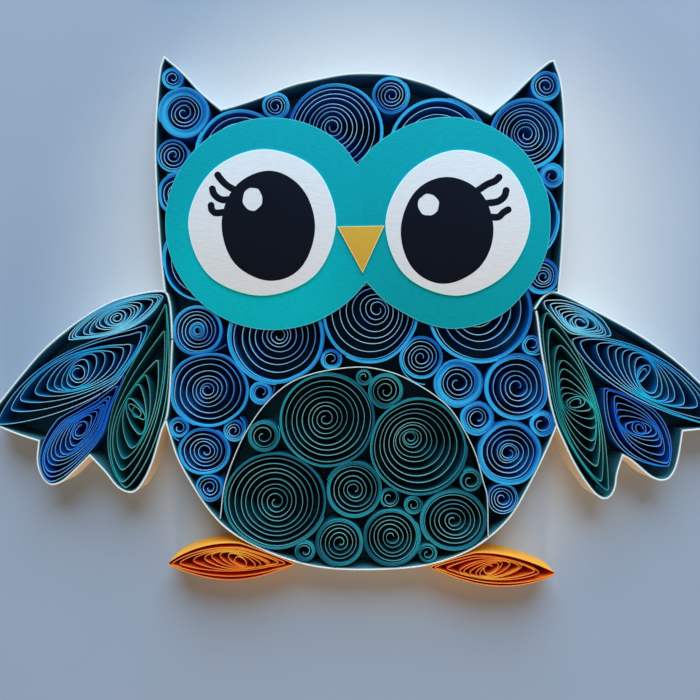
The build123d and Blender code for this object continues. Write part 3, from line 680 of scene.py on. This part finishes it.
def windRoll(name, pitch, seed, walls):
    # The strip runs inwards from its outer end. Its reach is the radius less one pitch a turn while the turns
    # press together. Then it's the eye's radius plus the rest times (1 - inward)^spread. Slow waves round the
    # coil keep it from looking machined, and its end curls into the eye. Where a neighbour or a wall presses
    # on it, the reach is multiplied by 1 - (1 - share) (reach / radius)^2. A tail stands off by its distance
    # times (1 - the share of its span)^1.6, and the eye's shift comes in with inward^0.8. The strip's painted
    # light follows the cosine from the side painted brighter and a wave along it.
    x, y, radius, tall, pressed, loose, eye, shiftX, shiftY, end, way, spread, paintedLightAngle = allRolls[name]
    middle = onPhoto((x, y))
    eye = eye * photo["mmPerPixel"]
    shift = np.array([shiftX, -shiftY]) * photo["mmPerPixel"]
    radius = radius * photo["mmPerPixel"]
    outer = radius + winding["grow"] - winding["thick"] / 2
    each = next(each for least, each in winding["steps"] if radius > least)
    turn = np.linspace(0, pressed + loose, int((pressed + loose) * each))
    inward = np.clip((turn - pressed) / loose, 0, 1)
    ringInner = outer - pressed * pitch
    reach = np.where(turn < pressed, outer - turn * pitch, eye + (ringInner - eye) * (1 - inward) ** spread)
    angle = math.radians(end) - way * 2 * math.pi * turn
    free = np.sin(inward * math.pi) * min(1, radius / winding["steady"])
    wave = np.sin(2 * angle + seed * 1.7) + 0.6 * np.sin(3 * angle + seed * 2.3 + turn)
    reach = reach + free * (winding["wobble"] * wave + winding["uneven"] * np.sin(2.1 * turn + seed))
    gap = np.minimum(np.abs(np.interp(turn - 1, turn, reach, left=99) - reach),
                     np.abs(reach - np.interp(turn + 1, turn, reach, right=-99)))
    press = np.clip((winding["pressGap"] - gap) / winding["pressFade"], 0, 1)
    curl = np.clip((turn - (pressed + loose) + winding["curl"]) / winding["curl"], 0, 1)
    reach = reach * (1 - winding["curlIn"] * curl ** 1.5)
    share = squeeze(name, walls)[np.degrees(angle).astype(int) % 360]
    reach = reach * (1 - (1 - share) * (reach / radius) ** 2)
    if name in tails:
        span, off = tails[name]
        reach = reach + off * np.clip(1 - turn * 360 / span, 0, 1) ** 1.6
    settle = inward ** 0.8
    upright = tall + (1 - tall) * inward
    coil = np.stack([reach * np.cos(angle), reach * upright * np.sin(angle)], axis=1)
    # The painted light and shade: a cosine from the side painted brighter, and a wave along the turns
    paintedLight = 0.5 + winding["paintedLightSide"] * np.cos(angle - math.radians(paintedLightAngle))
    paintedLight = np.clip(paintedLight + winding["paintedLightWave"] * np.sin(5.3 * turn + seed), 0, 1)
    return {"path": middle + settle[:, None] * shift + coil, "press": press, "paintedLight": paintedLight}


# The rolls press on the rims round the body and on the partition, up to these clearances of the middle lines
pressing = {"rim": 0.36, "side": 0.5, "partition": 0.16, "step": 0.05}
wallLines = [(upperPath, "rim"), (lowerPath, "rim"), (leftSide, "side"), (rightSide, "side"),
             (partitionLine, "partition")]
walls = [(evenLine(line, pressing["step"]), pressing[kind]) for line, kind in wallLines]
groups = [(node, [node], "azureStrip", "azure_paper", "pitch") for node in blueRolls]
groups += [(node, [node], "bellyStrip", "belly_teal_paper", "bellyPitch") for node in tealRolls]
groups += [("small_blue_rolls", list(smallBlueRolls), "azureStrip", "azure_paper", "pitch"),
           ("small_teal_rolls", list(smallTealRolls), "bellyStrip", "belly_teal_paper", "bellyPitch")]
for count, (node, names, material, slot, pitch) in enumerate(groups):
    wound = [windRoll(name, winding[pitch], count + 3 * k, walls) for k, name in enumerate(names)]
    piece = standingStrips(node + "_wound", wound, winding["thick"], levels["floor"], levels["rollTop"],
                           winding["cut"])
    finish(piece, material, slot, node)
print("rolls wound")

# Each leaf as read on the picture, in its pixels: the corners of its turns at both ends, outermost first, and
# the eye. Then the turns round the eye by half length and half width, in millimetres, and for the left and
# right side its height, the place of its peak as a share and how full it is. Room is what the first turns
# leave inside them on both sides, and the painted light angle is the side, in degrees, whose colour is
# painted brighter.
leaves = {
    "left_wing_pale_leaf": {
        "paintedLightAngle": 300,
        "tips": [(68.1, 340.3), (71.5, 338.5), (74.5, 336.9), (82.8, 334), (89.1, 333.4), (95.4, 326.3),
            (99, 324.5), (104.5, 322)],
        "otherTips": [(163.2, 295.7), (161, 297.3), (158.5, 298.4), (153.6, 301), (141.7, 304.6),
            (138.2, 308), (134.5, 309), (131.2, 310.2)],
        "eye": (115.8, 317.9), "rounds": [(3.0, 1.9), (1.9, 1.2), (1.0, 0.6)],
        "left": (4.7, 0.45, 0.85), "right": (4.3, 0.58, 0.9), "room": [],
    },
    "left_wing_azure_leaf": {
        "paintedLightAngle": 315,
        "tips": [(-3, 424), (10.5, 409.5), (19.4, 399.5), (34.4, 392.8), (46.6, 388), (54, 386.6),
            (61.5, 386.6), (67.3, 383.8)],
        "otherTips": [(148, 325.6), (143.4, 333), (133, 345.9), (123.5, 348), (113.4, 353), (103.8, 353),
            (95.4, 355.8), (87, 361.4)],
        "eye": (76.9, 373.3), "rounds": [(2.3, 2.1), (1.5, 1.4)],
        "left": (6.6, 0.42, 1.1), "right": (8.9, 0.62, 0.55), "room": [(0.1, 0.3)],
    },
    "left_wing_royal_leaf": {
        "paintedLightAngle": 215,
        "tips": [(47, 481.3), (47.5, 476), (47.7, 471.1), (49.8, 463.8), (53, 459.5), (56.8, 456.1),
            (61.7, 454), (67.3, 449.8), (71.6, 445.6)],
        "otherTips": [(127, 375.7), (120.7, 385.5), (112.2, 394.8), (108.7, 397.9), (105.2, 402.8),
            (102.6, 404.3), (100.3, 405.6), (96.1, 409.8), (89.8, 413.3)],
        "eye": (79.6, 430.1), "rounds": [(2.9, 1.6), (2.0, 0.9)],
        "left": (8.3, 0.38, 0.8), "right": (4.6, 0.40, 0.75), "room": [(0.9, 0.1)],
    },
    "left_wing_teal_leaf": {
        "paintedLightAngle": 350,
        "tips": [(125.6, 488.6), (122.1, 483), (121.4, 470.8), (122.8, 459.3), (130.5, 448.8),
            (139.2, 435), (142.4, 419.6)],
        "otherTips": [(165.6, 302.9), (164.4, 330.2), (157.9, 359.3), (145.2, 373.7), (138.6, 383.5),
            (129.8, 397.9), (129.1, 403.5)],
        "eye": (135.4, 411.9), "rounds": [(1.6, 0.9)],
        "left": (8.5, 0.34, 1.35), "right": (5.9, 0.43, 1.0), "room": [(0.2, 0.6)],
    },
    "right_wing_pale_leaf": {
        "paintedLightAngle": 215,
        "tips": [(543.6, 301), (550.2, 303.9), (555.1, 307.4), (558.6, 310.2), (561.4, 313.7),
            (564.9, 317.2), (569.8, 320.7)],
        "otherTips": [(610.9, 338), (605.6, 337.5), (602.8, 334.7), (601.1, 331.9), (597.9, 331.9),
            (595.8, 328.4), (587.3, 327.7)],
        "eye": (580.3, 322.1), "rounds": [(2.6, 1.6), (1.4, 0.8)],
        "left": (4.5, 0.55, 0.75), "right": (4.4, 0.48, 0.95), "room": [(0.7, 0.4)],
    },
    "right_wing_azure_leaf": {
        "paintedLightAngle": 240,
        "tips": [(572.2, 339.6), (580.3, 341.7), (597.2, 344.5), (608.7, 346.6), (616.8, 349),
            (623.6, 351.8), (630.8, 354.4), (637.2, 358.6)],
        "otherTips": [(716, 426), (708, 420), (697, 407.4), (683.5, 404.9), (673.6, 400.7), (667.3, 399.5),
            (660.3, 395.3), (654.7, 393)],
        "eye": (642.8, 373.3), "rounds": [(1.3, 2.9), (0.7, 1.7)],
        "left": (8.5, 0.53, 0.65), "right": (5.1, 0.42, 0.95), "room": [(0.3, 0.4)],
    },
    "right_wing_royal_leaf": {
        "paintedLightAngle": 270,
        "tips": [(604.2, 387.8), (607.3, 390.1), (615.4, 395.3), (617.1, 402.8), (617.5, 409.8),
            (619.3, 416.8), (626.6, 424)],
        "otherTips": [(668.7, 466.6), (668, 463.8), (662.8, 455.4), (660.3, 446.3), (658.2, 440),
            (655.4, 435.7), (650.5, 432)],
        "eye": (640, 427.3), "rounds": [(2.2, 1.4), (1.2, 0.7)],
        "left": (7.2, 0.56, 0.85), "right": (7.2, 0.52, 0.95), "room": [(0.1, 0.1), (0.9, 1.3)],
    },
    "right_wing_teal_leaf": {
        "paintedLightAngle": 0,
        "tips": [(547.4, 311.6), (552.6, 327.7), (560.7, 344.5), (563.2, 359.7), (563.8, 368.4),
            (563.2, 378.2), (564.2, 387.3), (566.3, 393.2)],
        "otherTips": [(608.7, 491.4), (601.4, 482.3), (596.9, 467), (592, 451.5), (593, 441.4),
            (593.9, 428.7), (593, 418.9), (588.8, 410.5)],
        "eye": (576.8, 402.1), "rounds": [(1.6, 2.4), (1.0, 1.3)],
        "left": (5.2, 0.45, 1.05), "right": (7.1, 0.48, 0.8), "room": [(0.1, 0.1)],
    },
    "left_foot": {
        "paintedLightAngle": 90,
        "tips": [(167.1, 564.1), (170.7, 564.6), (178.3, 563.7), (191.9, 560.5), (203.3, 558.3),
            (210.4, 556.1), (218.9, 554.8), (227.4, 555.5)],
        "otherTips": [(295.3, 562.3), (286.8, 561.6), (280.1, 561.4), (270.7, 564.1), (268.5, 564.6),
            (261.3, 565.9), (255.7, 566.8), (246.6, 566.8)],
        "eye": (238.5, 561), "rounds": [(1.3, 1.2)],
        "left": (5.7, 0.48, 0.95), "right": (4.9, 0.50, 1.0), "room": [(1.0, 0.6), (0, 1.4)],
    },
    "right_foot": {
        "paintedLightAngle": 270,
        "tips": [(429.4, 566), (433.4, 566), (445.9, 567.8), (459, 571.8), (462.9, 572.2), (469.3, 573.6),
            (475.4, 574.5), (479.4, 574.9)],
        "otherTips": [(556.2, 573.6), (540.5, 573.1), (536.1, 571.8), (523.1, 566.4), (520.4, 567.3),
            (511.1, 564.6), (503, 564.2), (499.5, 565.1)],
        "eye": (488.5, 569.5), "rounds": [(1.3, 1.2)],
        "left": (4.6, 0.45, 1.0), "right": (4.7, 0.53, 0.9), "room": [(0.7, 0.5), (0.1, 0.8)],
    },
}


leafWinding = {
    "tail": 0.46,  # how much of a turn the strip begins before the first corner
    "tailInside": 0.4,  # how much of a turn it goes on after the last one
    "steps": 240,
    "step": 0.3,
    "soften": 7,
    "pressGap": 0.8,
    "pressFade": 0.4,
    "ownLength": 5,  # a strip doesn't press on the part of itself within this length
    # Painted light: how much a leaf's colours are painted lighter and darker by side, and by a wave along it
    "paintedLightSide": 0.4,
    "paintedLightWave": 0.2,
    "outline": 2.08,  # the outermost turn's length by the leaf's length
    "outerRun": 2.1,
    "outerFade": 2,
}
keeping = {
    "rim": 0.47,  # clearance of a rim's middle line
    "strip": 0.25,  # clearance of a leaf's outermost turn
    "near": 3.0,  # up to where turns are measured
    "reach": 2.2,  # up to where they move with the nearest one, and by how much more where that lies deeper
    "deeper": 1.5,
    "free": 2.0,  # the distance taken where no turn is near
    "step": 0.25,
    "spread": 14,  # steps along the line, to both sides, that move as one
}


def keepBeside(path, fence, side, clearance):
    # Keeps a strip on one side of another's middle line, side 1 being its left. At each place along it the
    # nearest turn moves out to the clearance, by the depth. A turn further off moves by the depth times
    # (reach - its distance) / (reach - the nearest turn's distance), so that all turns keep their order.
    line = evenLine(fence, keeping["step"])
    normal = across(line, False) * side
    normal = normal / np.linalg.norm(normal, axis=1, keepdims=True)
    between = np.linalg.norm(path[:, None] - line[None], axis=2)
    nearest = between.argmin(axis=1)
    near = between.min(axis=1) < keeping["near"]
    distance = ((path - line[nearest]) * normal[nearest]).sum(axis=1)
    lowest = np.full(len(line), keeping["free"])
    np.minimum.at(lowest, nearest[near], distance[near])
    lowest = lowestMean(lowest, keeping["spread"], keeping["spread"])
    depth = np.clip(clearance - lowest, 0, None)[nearest]
    reach = keeping["reach"] + keeping["deeper"] * depth
    share = np.clip((reach - distance) / (reach - lowest[nearest]), 0, 1) * (between.min(axis=1) < reach)
    return path + (depth * share)[:, None] * normal[nearest]


def windLeaf(leaf, fences):
    # The strip runs inwards turn by turn, up the left side and back down the right. Across the line between a
    # turn's two corners it stands off by its bulge times (4 s (1 - s))^fullness, where s is the share of the
    # way along, bent so that the highest place lies at the peak. The fullness falls to a half at the round
    # eye. The sides close in by equal steps to the eye, less the extra room of the first turns.
    corners = onPhoto(leaf["tips"])
    otherCorners = onPhoto(leaf["otherTips"])
    tip = corners[0]
    length = np.linalg.norm(otherCorners[0] - tip)
    along = (otherCorners[0] - tip) / length
    axes = np.stack([along, [-along[1], along[0]]], axis=1)
    eye = (onPhoto(leaf["eye"]) - tip) @ axes
    rounds = np.array(leaf["rounds"])
    halves = np.column_stack([rounds[:, 0], np.zeros(len(rounds))])
    starts = np.vstack([(corners - tip) @ axes, eye - halves])
    stops = np.vstack([(otherCorners - tip) @ axes, eye + halves])
    outside = len(corners)
    turns = outside + len(rounds)
    order = np.arange(turns)
    loose = np.clip(order / outside, 0, 1)
    room = np.zeros((outside, 2))  # of the left and the right side at each turn
    for count, extra in enumerate(leaf["room"]):
        room[count + 1:] += extra

    def closing(height, side, count):
        # Heights of one side at each turn: by equal steps from the first to the eye's, less the extra room.
        last = rounds[:, 1] + (eye[1] if side == 0 else -eye[1])
        inwards = np.arange(count) / count
        extra = np.interp(np.arange(count), np.arange(outside), room[:, side])
        return np.concatenate([height + (last[0] - height) * inwards - extra * (1 - inwards), last])

    leftHeights = closing(leaf["left"][0], 0, outside)
    rightHeights = closing(leaf["right"][0], 1, outside + 1)
    spot = np.linspace(-leafWinding["tail"], turns - 1 + leafWinding["tailInside"],
                       int(turns * leafWinding["steps"]))
    phase = spot % 1
    goingUp = phase < 0.5
    share = (1 - np.cos(2 * np.pi * phase)) / 2
    start = np.stack([np.interp(spot, order, starts[:, axis]) for axis in (0, 1)], axis=1)
    stop = np.stack([np.interp(spot, order + 0.5, stops[:, axis]) for axis in (0, 1)], axis=1)
    inward = np.interp(spot, order, loose)
    peak = np.where(goingUp, leaf["left"][1], leaf["right"][1])
    peak = peak + (0.5 - peak) * inward
    full = np.where(goingUp, leaf["left"][2], leaf["right"][2])
    bent = np.clip(share, 1e-6, 1 - 1e-6) ** (np.log(0.5) / np.log(peak))
    bulge = (4 * bent * (1 - bent)) ** (full + (0.5 - full) * inward ** 1.2)
    base = start + share[:, None] * (stop - start)
    baseAtPeak = start[:, 1] + peak * (stop[:, 1] - start[:, 1])
    leftBulge = np.interp(spot, order + 0.25, leftHeights) - baseAtPeak
    rightBulge = np.interp(spot, np.arange(-1, turns) + 0.75, rightHeights) + baseAtPeak
    off = np.where(goingUp, leftBulge, -rightBulge) * bulge
    path = tip + np.stack([base[:, 0], base[:, 1] + off], axis=1) @ axes.T
    path = evenLine(path, leafWinding["step"], leafWinding["soften"])
    for fence, side, clearance in fences:
        path = keepBeside(path, fence, side, clearance)
    run = runAlong(path)
    between = np.linalg.norm(path[:, None, :] - path[None, :, :], axis=2)
    between[np.abs(run[:, None] - run[None, :]) < leafWinding["ownLength"]] = 99
    press = np.clip((leafWinding["pressGap"] - between.min(axis=1)) / leafWinding["pressFade"], 0, 1)
    # The painted light and shade: a cosine from the side painted brighter, and a wave along the strip
    outwards = path - onPhoto(leaf["eye"])
    turned = np.arctan2(outwards[:, 1], outwards[:, 0]) - math.radians(leaf["paintedLightAngle"])
    paintedLight = 0.5 + leafWinding["paintedLightSide"] * np.cos(turned)
    paintedLight = np.clip(paintedLight + leafWinding["paintedLightWave"] * np.sin(2.7 * run / length), 0, 1)
    outerRun = np.clip(1 - (run - leafWinding["outerRun"] * length) / leafWinding["outerFade"], 0, 1)
    return {"path": path, "press": press, "paintedLight": paintedLight, "outerRun": outerRun,
            "outline": path[run < leafWinding["outline"] * length]}


# The feet stand outside the lower rim. The leaves stand inside their wing's rim, the azure one also outside
# the teal one, and the royal and the pale one outside both.
below = [(lowerPath, 1, keeping["rim"])]
wound = {foot: windLeaf(leaves[foot], below) for foot in ("left_foot", "right_foot")}
for wing, rim in (("left_wing_", leftPath), ("right_wing_", rightPath)):
    fences = [(rim, -1, keeping["rim"])]
    for node in (wing + "teal_leaf", wing + "azure_leaf"):
        wound[node] = windLeaf(leaves[node], fences)
        fences = [(wound[node]["outline"], 1, keeping["strip"])] + fences
    for node in (wing + "royal_leaf", wing + "pale_leaf"):
        wound[node] = windLeaf(leaves[node], fences)
leafPapers = {
    "pale": ("paleCyanStrip", "pale_cyan_paper"),
    "azure": ("wingAzureStrip", "azure_paper"),
    "royal": ("royalStrip", "royal_blue_paper"),
    "teal": ("greenTealStrip", "green_teal_paper"),
    "foot": ("orangeStrip", "orange_paper"),
}
for node in leaves:
    kind = next(kind for kind in leafPapers if kind in node)
    bottom, top = ("board", "rimTop") if kind == "foot" else ("floor", "rollTop")
    piece = standingStrips(node + "_wound", [wound[node]], winding["thick"], levels[bottom], levels[top],
                           winding["cut"])
    finish(piece, *leafPapers[kind], node)
print("leaves and feet wound")

mask = {
    "left": (-22.3, 36.0),
    "right": (28.3, 36.3),
    "cut": 0.15,
    "drop": 0.05,
    "step": 0.6,
    # Direction in degrees and reach in millimetres
    "leftReach": [(34.5, 29.6), (50, 30.2), (70, 30.3), (90, 30.3), (110, 30.4), (130, 30.5), (150, 30.5),
            (170, 30.4), (190, 30.4), (210, 30.3), (230, 30.3), (250, 30.3), (270, 30.3), (290, 30.5),
            (305, 30.8), (317, 31.2), (328.3, 31.7)],
    "rightReach": [(-144.2, 29.1), (-130, 28.9), (-115, 28.9), (-105, 29.4), (-90, 30.2), (-75, 30.3),
            (-60, 30.2), (-45, 29.4), (-30, 29.1), (-15, 29.0), (0, 28.9), (15, 29.1), (30, 29.2),
            (45, 29.5), (60, 29.7), (75, 30.1), (90, 30.2), (105, 30.2), (120, 30.3), (135, 30.7),
            (147.8, 31.0)],
}


def around(middle, reaches):
    # Points at the middle plus reach times (cos, sin) of the direction.
    reaches = np.array(reaches)
    angle = np.radians(reaches[:, 0])
    return np.array(middle) + reaches[:, 1:] * np.stack([np.cos(angle), np.sin(angle)], axis=1)


leftArc = around(mask["left"], mask["leftReach"])
rightArc = around(mask["right"], mask["rightReach"])
leftArc[0] = rightArc[-1]
leftArc[-1] = rightArc[0]
maskLine = np.vstack([leftArc[:-1], rightArc[:-1]])
maskOutline = smoothLine(maskLine, (0, len(leftArc) - 1), closed=True, step=mask["step"])
maskPiece = cutCard("maskCard", maskOutline, levels["rollTop"], levels["maskTop"], mask["cut"], mask["drop"])
finish(maskPiece, "maskCard", "mask_card", "mask")

# Places and sizes in millimetres, the disc's reaches in equal directions anticlockwise from the right, the
# pupil's bulge as a share with its direction, and the lashes as read on the picture
eyes = {
    "left": {
        "disc": (-25.1, 36.6), "reach": [21.1, 21.3, 20.5, 20.2, 20.9, 21.5, 21.1, 21.5],
        "pupil": (-23.3, 35.5), "size": (13.2, 15.4), "bulge": (0.055, 305), "spark": (-27.7, 42.9),
        "sparkSize": (2.8, 3.3),
        "lashes": [[(218.3, 175.8), (222, 180.8), (227.6, 186.2), (234, 190)],
                   [(213, 189.6), (214.4, 194.2), (218.2, 198.4), (223.4, 200.6), (229, 200.3)],
                   [(211.8, 206), (212.4, 210.2), (215.8, 213.4), (221, 213.4), (226, 212.6)]],
    },
    "right": {
        "disc": (30.6, 36.4), "reach": [20.7, 21.2, 20.5, 19.8, 20.5, 21.2, 20.9, 20.2],
        "pupil": (27.7, 34.3), "size": (13.1, 14.9), "bulge": (0.065, 235), "spark": (22.3, 41.3),
        "sparkSize": (3.0, 3.1),
        "lashes": [[(498.4, 178), (494.6, 181.6), (486.5, 185.2), (476, 192)],
                   [(505.4, 191.2), (503.6, 197), (497.6, 202), (486, 204)],
                   [(507.4, 210.4), (502.6, 213.2), (497.6, 217.6), (489, 217.6)]],
    },
}
inking = {
    "lashWidth": 1.95,
    "lashCut": 0.04,
    "lashDrop": 0.01,  # how much lower a lash's film is than a pupil's
    "pupilCut": 0.05,
    "cut": 0.02,
    "points": 72,
    "strokeCurve": 0.2,
    "strokeStep": 0.25,
    "capTurns": 9,
    "pupilWobble": 0.004,
    "sparkWobble": 0.02,
    "seeds": {"left": 1, "right": 4},
}
discLook = {"step": 0.6, "cut": 0.4, "drop": 0.12}


def oval(middle, size, count, wobble, seed, bulge=(0, 0)):
    # An ellipse with two slow waves in its reach, as a brush leaves it, and a bulge towards one direction:
    # reach = 1 + wobble (sin(5a + seed) + 0.7 sin(8a + 2 seed)) + bulge cos(a - where)^4.
    angle = np.linspace(0, 2 * np.pi, count, endpoint=False)
    reach = 1 + wobble * (np.sin(5 * angle + seed) + 0.7 * np.sin(8 * angle + 2 * seed))
    reach += bulge[0] * np.maximum(0, np.cos(angle - np.radians(bulge[1]))) ** 4
    plain = np.stack([size[0] * np.cos(angle), size[1] * np.sin(angle)], axis=1)
    return np.array(middle) + reach[:, None] * plain


def brushStroke(line, width):
    # A stroke of even width with round ends, as one anticlockwise outline: the line less and plus half the
    # width along its mitre, joined by half circles.
    path = evenLine(smoothLine(line, step=inking["strokeCurve"]), inking["strokeStep"])
    mitre = across(path, False) * width / 2
    turn = np.linspace(-np.pi / 2, np.pi / 2, inking["capTurns"])[1:-1]

    def cap(middle, direction):
        # Middle + half width (cos of the turn along the direction + sin of it to its left).
        direction = direction / np.linalg.norm(direction)
        side = np.array([-direction[1], direction[0]])
        return middle + width / 2 * (np.cos(turn)[:, None] * direction + np.sin(turn)[:, None] * side)

    return np.vstack([path - mitre, cap(path[-1], path[-1] - path[-2]), (path + mitre)[::-1],
                      cap(path[0], path[0] - path[1])])


for side, eye in eyes.items():
    directions = np.linspace(0, 360, len(eye["reach"]), endpoint=False)
    discLine = around(eye["disc"], np.stack([directions, eye["reach"]], axis=1))
    disc = cutCard(side + "EyeDisc", smoothLine(discLine, (), True, discLook["step"]), levels["maskTop"],
                   levels["discTop"], discLook["cut"], discLook["drop"])
    finish(disc, "eyeCard", "pale_card", side + "_eye_disc")
    seed = inking["seeds"][side]
    edge = oval(eye["pupil"], eye["size"], inking["points"], inking["pupilWobble"], seed, eye["bulge"])
    spark = oval(eye["spark"], eye["sparkSize"], inking["points"], inking["sparkWobble"], seed + 2)
    pupil = cutCard(side + "Pupil", edge, levels["discTop"], levels["inkTop"], inking["pupilCut"],
                    inking["cut"], spark)
    finish(pupil, "ink", "black_ink", side + "_pupil")
    for count, stroke in enumerate(eye["lashes"]):
        line = brushStroke(onPhoto(stroke), inking["lashWidth"])
        lash = cutCard(f"{side}Lash{count + 1}", line, levels["discTop"],
                       levels["inkTop"] - inking["lashDrop"], inking["lashCut"], inking["cut"])
        finish(lash, "ink", "black_ink", *([side + "_lashes"] if count == 0 else []))

beak = {"points": [(337.4, 227.1), (362.6, 273.4), (384.2, 226.2)], "cut": 0.2, "drop": 0.08}
beakPiece = cutCard("beakCard", onPhoto(beak["points"]), levels["maskTop"], levels["discTop"], beak["cut"],
                    beak["drop"])
finish(beakPiece, "goldCard", "gold_card", "beak")
print("mask, eyes and beak")

stageLook = {
    "tableSide": 6.0,
    "below": 0.0003,
    "table": {"face": (226, 228, 232), "cloud": 0.0, "grain": 0.0, "bump": 0.0},
}
bpy.ops.mesh.primitive_plane_add(size=stageLook["tableSide"], location=(0, 0, -stageLook["below"]))
table = bpy.context.object
table.name = "table"
table.data.materials.append(paper("tableTop", stageLook["table"]))

lights = {
    "sky": {"colour": (1.0, 0.80, 0.62), "strength": 0.25},
    "lamps": [
        # name, place in metres, size in metres, power in watts, colour
        ("topLamp", (0.06, 1.3, 0.72), 1.4, 37.2, (0.63, 0.83, 1.0)),
        ("sideLamp", (0.20, 0.06, 0.12), 0.08, 0.03, (0.95, 0.98, 1.0)),
        ("lowLamp", (0.0, -1.2, 0.22), 0.3, 10.0, (1.0, 0.62, 0.32)),
    ],
}
world = bpy.data.worlds.new("studio")
bpy.context.scene.world = world
world.use_nodes = True
sky = world.node_tree.nodes["Background"]
sky.inputs["Color"].default_value = (*lights["sky"]["colour"], 1)
sky.inputs["Strength"].default_value = lights["sky"]["strength"]
for name, place, size, power, colour in lights["lamps"]:
    lamp = bpy.data.lights.new(name, "AREA")
    lamp.shape = "DISK"
    lamp.size = size
    lamp.energy = power
    lamp.color = colour
    stand = bpy.data.objects.new(name, lamp)
    bpy.context.scene.collection.objects.link(stand)
    stand.location = place
    stand.rotation_euler = (-stand.location).to_track_quat("-Z", "Y").to_euler()

cameraLook = {"height": 0.2133, "lens": 36.0, "sensor": 36.0, "nearest": 0.01, "farthest": 20}
camera = bpy.data.cameras.new("camera")
camera.lens = cameraLook["lens"]
camera.sensor_width = cameraLook["sensor"]
camera.clip_start = cameraLook["nearest"]
camera.clip_end = cameraLook["farthest"]
viewer = bpy.data.objects.new("camera", camera)
bpy.context.scene.collection.objects.link(viewer)
viewer.location = (0, 0, cameraLook["height"])
bpy.context.scene.camera = viewer
bpy.context.scene.view_settings.view_transform = "Standard"
print("light and camera")
